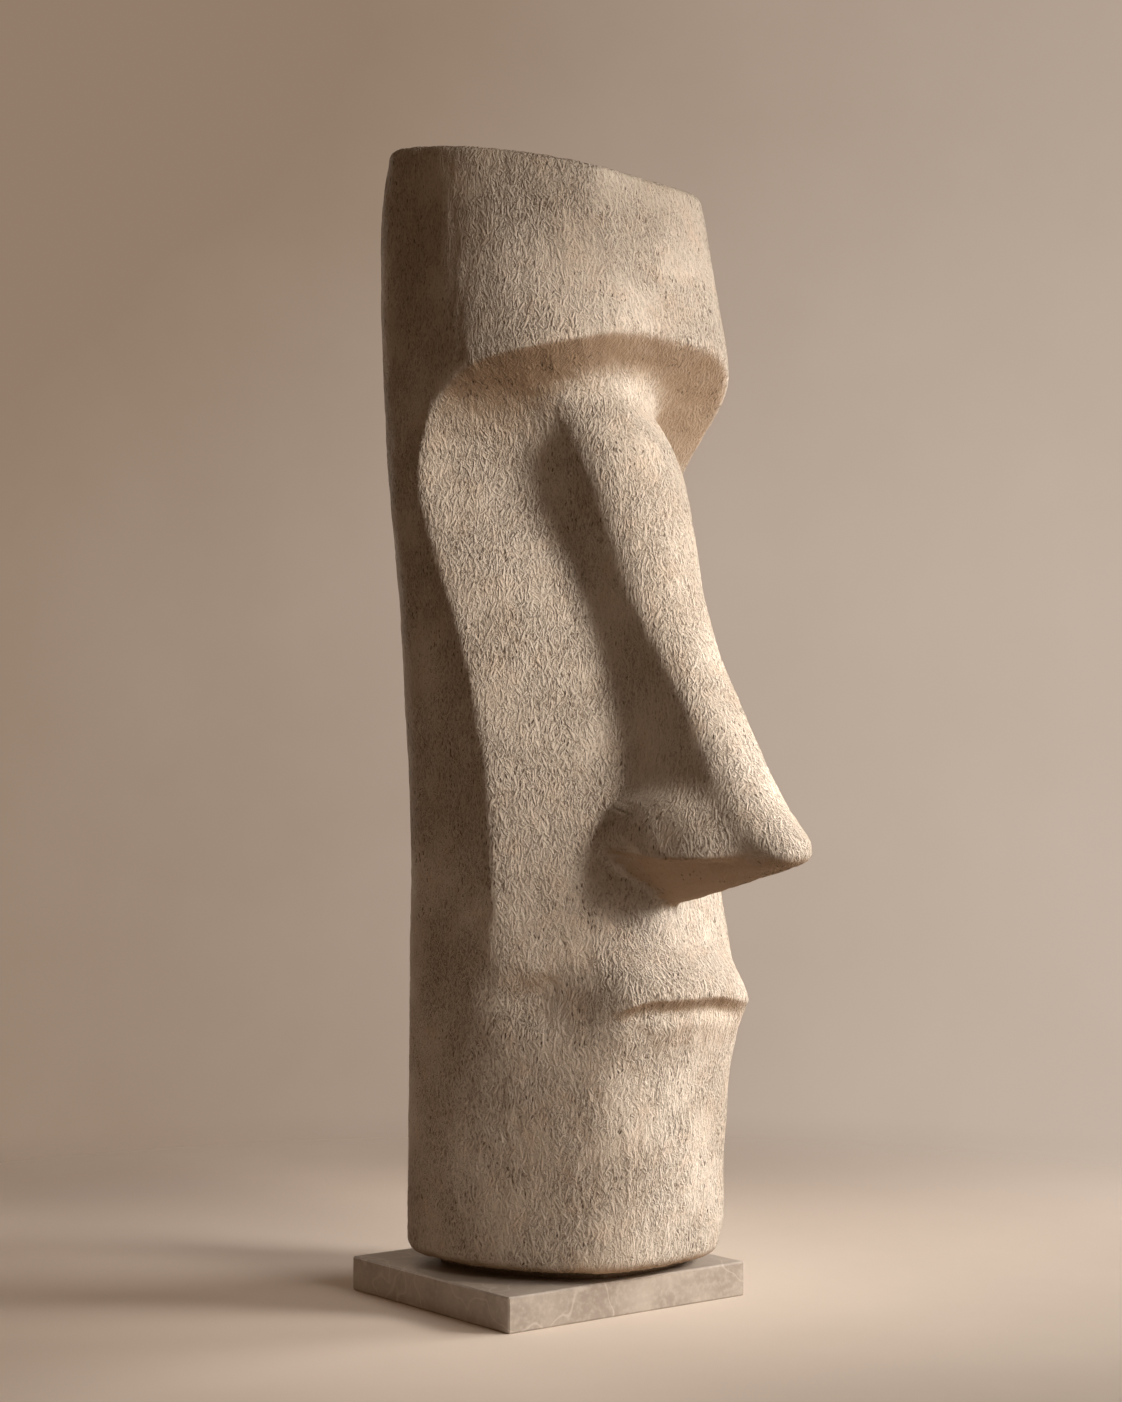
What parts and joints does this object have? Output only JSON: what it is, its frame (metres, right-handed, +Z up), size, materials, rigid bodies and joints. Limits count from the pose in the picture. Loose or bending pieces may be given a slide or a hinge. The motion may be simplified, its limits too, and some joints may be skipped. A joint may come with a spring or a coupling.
{
  "type": "carved stone head on a slab",
  "caption": "Tall moai head carved from one block of porous stone, standing on a thin rectangular stone slab; garden or interior sculpture.",
  "frame": {"origin": "centre of the slab's underside, on the floor", "axes": "+Z up, +X toward the head's own left, and the head faces -Y"},
  "size_m": [0.2713, 0.4649, 1.0317],
  "materials": {
    "carved_beige_stone": "rough, chiselled, porous",
    "honed_grey_stone": "honed"
  },
  "bodies": {
    "root": {"head": "carved_beige_stone", "base_slab": "honed_grey_stone"}
  },
  "joints": []
}
